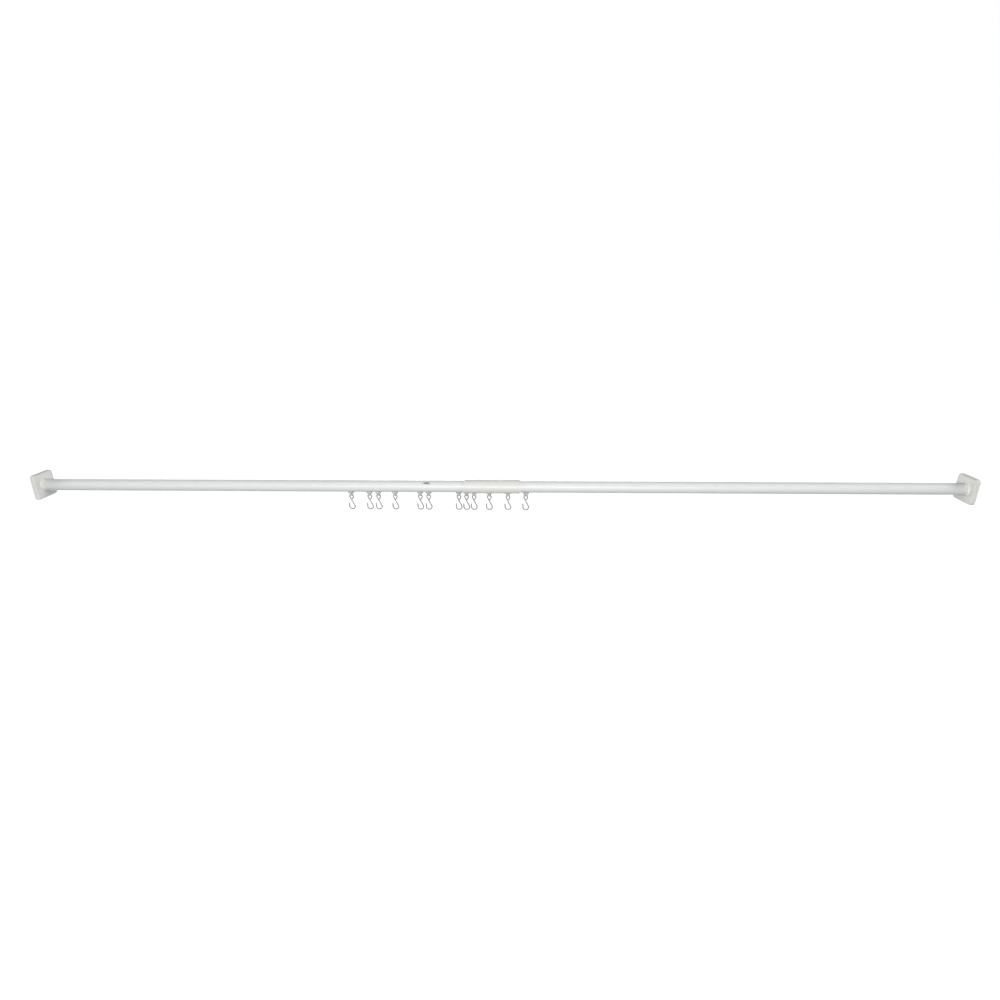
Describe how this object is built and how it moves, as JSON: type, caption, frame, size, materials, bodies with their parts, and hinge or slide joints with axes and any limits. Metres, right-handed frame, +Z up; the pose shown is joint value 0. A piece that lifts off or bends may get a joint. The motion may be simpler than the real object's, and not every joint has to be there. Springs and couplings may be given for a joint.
{
  "type": "shower curtain rod",
  "caption": "Straight white wall-to-wall curtain rod of slotted tubes joined by a sleeve, with square wall plates and S-hooks hanging from gliders that run in the slot.",
  "frame": {"origin": "where the rod's axis meets the left wall, at the centre of the left bracket's back face", "axes": "+X along the rod to the right wall, +Y away from the viewer, +Z up"},
  "size_m": [2.008, 0.055, 0.0819],
  "materials": {
    "tube_coat": "white semi-gloss powder coat on extruded aluminium",
    "sleeve_plastic": "warm white moulded plastic, low gloss",
    "cover_plastic": "warm white moulded plastic, satin",
    "bracket_plastic": "white moulded plastic, satin",
    "glider_nylon": "white moulded nylon",
    "hook_steel": "bright zinc plated steel wire"
  },
  "bodies": {
    "rod": {"left_tube": "tube_coat", "right_tube": "tube_coat", "joining_sleeve": "sleeve_plastic", "left_wall_bracket": "bracket_plastic", "right_wall_bracket": "bracket_plastic", "left_cover": "cover_plastic", "right_cover": "cover_plastic"},
    "glider_01": {"glider_01": "glider_nylon"},
    "hook_01": {"hook_01": "hook_steel"},
    "glider_02": {"glider_02": "glider_nylon"},
    "hook_02": {"hook_02": "hook_steel"},
    "glider_03": {"glider_03": "glider_nylon"},
    "hook_03": {"hook_03": "hook_steel"},
    "glider_04": {"glider_04": "glider_nylon"},
    "hook_04": {"hook_04": "hook_steel"},
    "glider_05": {"glider_05": "glider_nylon"},
    "hook_05": {"hook_05": "hook_steel"},
    "glider_06": {"glider_06": "glider_nylon"},
    "hook_06": {"hook_06": "hook_steel"},
    "glider_07": {"glider_07": "glider_nylon"},
    "hook_07": {"hook_07": "hook_steel"},
    "glider_08": {"glider_08": "glider_nylon"},
    "hook_08": {"hook_08": "hook_steel"},
    "glider_09": {"glider_09": "glider_nylon"},
    "hook_09": {"hook_09": "hook_steel"},
    "glider_10": {"glider_10": "glider_nylon"},
    "hook_10": {"hook_10": "hook_steel"},
    "glider_11": {"glider_11": "glider_nylon"},
    "hook_11": {"hook_11": "hook_steel"},
    "glider_12": {"glider_12": "glider_nylon"},
    "hook_12": {"hook_12": "hook_steel"}
  },
  "joints": [
    {"name": "glider_01_slide", "type": "slide", "parent": "rod", "child": "glider_01", "axis": [1, 0, 0], "range_m": [-0.6602, 0.0247]},
    {"name": "hook_01_swing", "type": "hinge", "parent": "glider_01", "child": "hook_01", "pos_m": [0.6942, 0, -0.0192], "axis": [1, 0, 0], "range_deg": [-90, 90]},
    {"name": "glider_02_slide", "type": "slide", "parent": "rod", "child": "glider_02", "axis": [1, 0, 0], "range_m": [-0.0247, 0.0039]},
    {"name": "hook_02_swing", "type": "hinge", "parent": "glider_02", "child": "hook_02", "pos_m": [0.7346, 0, -0.0192], "axis": [1, 0, 0], "range_deg": [-90, 90]},
    {"name": "glider_03_slide", "type": "slide", "parent": "rod", "child": "glider_03", "axis": [1, 0, 0], "range_m": [-0.0039, 0.0211]},
    {"name": "hook_03_swing", "type": "hinge", "parent": "glider_03", "child": "hook_03", "pos_m": [0.7542, 0, -0.0192], "axis": [1, 0, 0], "range_deg": [-90, 90]},
    {"name": "glider_04_slide", "type": "slide", "parent": "rod", "child": "glider_04", "axis": [1, 0, 0], "range_m": [-0.0211, 0.0396]},
    {"name": "hook_04_swing", "type": "hinge", "parent": "glider_04", "child": "hook_04", "pos_m": [0.791, 0, -0.0192], "axis": [1, 0, 0], "range_deg": [-90, 90]},
    {"name": "glider_05_slide", "type": "slide", "parent": "rod", "child": "glider_05", "axis": [1, 0, 0], "range_m": [-0.0396, 0.0028]},
    {"name": "hook_05_swing", "type": "hinge", "parent": "glider_05", "child": "hook_05", "pos_m": [0.8463, 0, -0.0192], "axis": [1, 0, 0], "range_deg": [-90, 90]},
    {"name": "glider_06_slide", "type": "slide", "parent": "rod", "child": "glider_06", "axis": [1, 0, 0], "range_m": [-0.0028, 0.0507]},
    {"name": "hook_06_swing", "type": "hinge", "parent": "glider_06", "child": "hook_06", "pos_m": [0.8648, 0, -0.0192], "axis": [1, 0, 0], "range_deg": [-90, 90]},
    {"name": "glider_07_slide", "type": "slide", "parent": "rod", "child": "glider_07", "axis": [1, 0, 0], "range_m": [-0.0507, 0.0009]},
    {"name": "hook_07_swing", "type": "hinge", "parent": "glider_07", "child": "hook_07", "pos_m": [0.9312, 0, -0.0192], "axis": [1, 0, 0], "range_deg": [-90, 90]},
    {"name": "glider_08_slide", "type": "slide", "parent": "rod", "child": "glider_08", "axis": [1, 0, 0], "range_m": [-0.0009, 0.0009]},
    {"name": "hook_08_swing", "type": "hinge", "parent": "glider_08", "child": "hook_08", "pos_m": [0.9478, 0, -0.0192], "axis": [1, 0, 0], "range_deg": [-90, 90]},
    {"name": "glider_09_slide", "type": "slide", "parent": "rod", "child": "glider_09", "axis": [1, 0, 0], "range_m": [-0.0009, 0.0175]},
    {"name": "hook_09_swing", "type": "hinge", "parent": "glider_09", "child": "hook_09", "pos_m": [0.9644, 0, -0.0192], "axis": [1, 0, 0], "range_deg": [-90, 90]},
    {"name": "glider_10_slide", "type": "slide", "parent": "rod", "child": "glider_10", "axis": [1, 0, 0], "range_m": [-0.0175, 0.0249]},
    {"name": "hook_10_swing", "type": "hinge", "parent": "glider_10", "child": "hook_10", "pos_m": [0.9976, 0, -0.0192], "axis": [1, 0, 0], "range_deg": [-90, 90]},
    {"name": "glider_11_slide", "type": "slide", "parent": "rod", "child": "glider_11", "axis": [1, 0, 0], "range_m": [-0.0249, 0.0232]},
    {"name": "hook_11_swing", "type": "hinge", "parent": "glider_11", "child": "hook_11", "pos_m": [1.0382, 0, -0.0192], "axis": [1, 0, 0], "range_deg": [-90, 90]},
    {"name": "glider_12_slide", "type": "slide", "parent": "rod", "child": "glider_12", "axis": [1, 0, 0], "range_m": [-0.0232, 0.8969]},
    {"name": "hook_12_swing", "type": "hinge", "parent": "glider_12", "child": "hook_12", "pos_m": [1.0771, 0, -0.0192], "axis": [1, 0, 0], "range_deg": [-90, 90]}
  ]
}
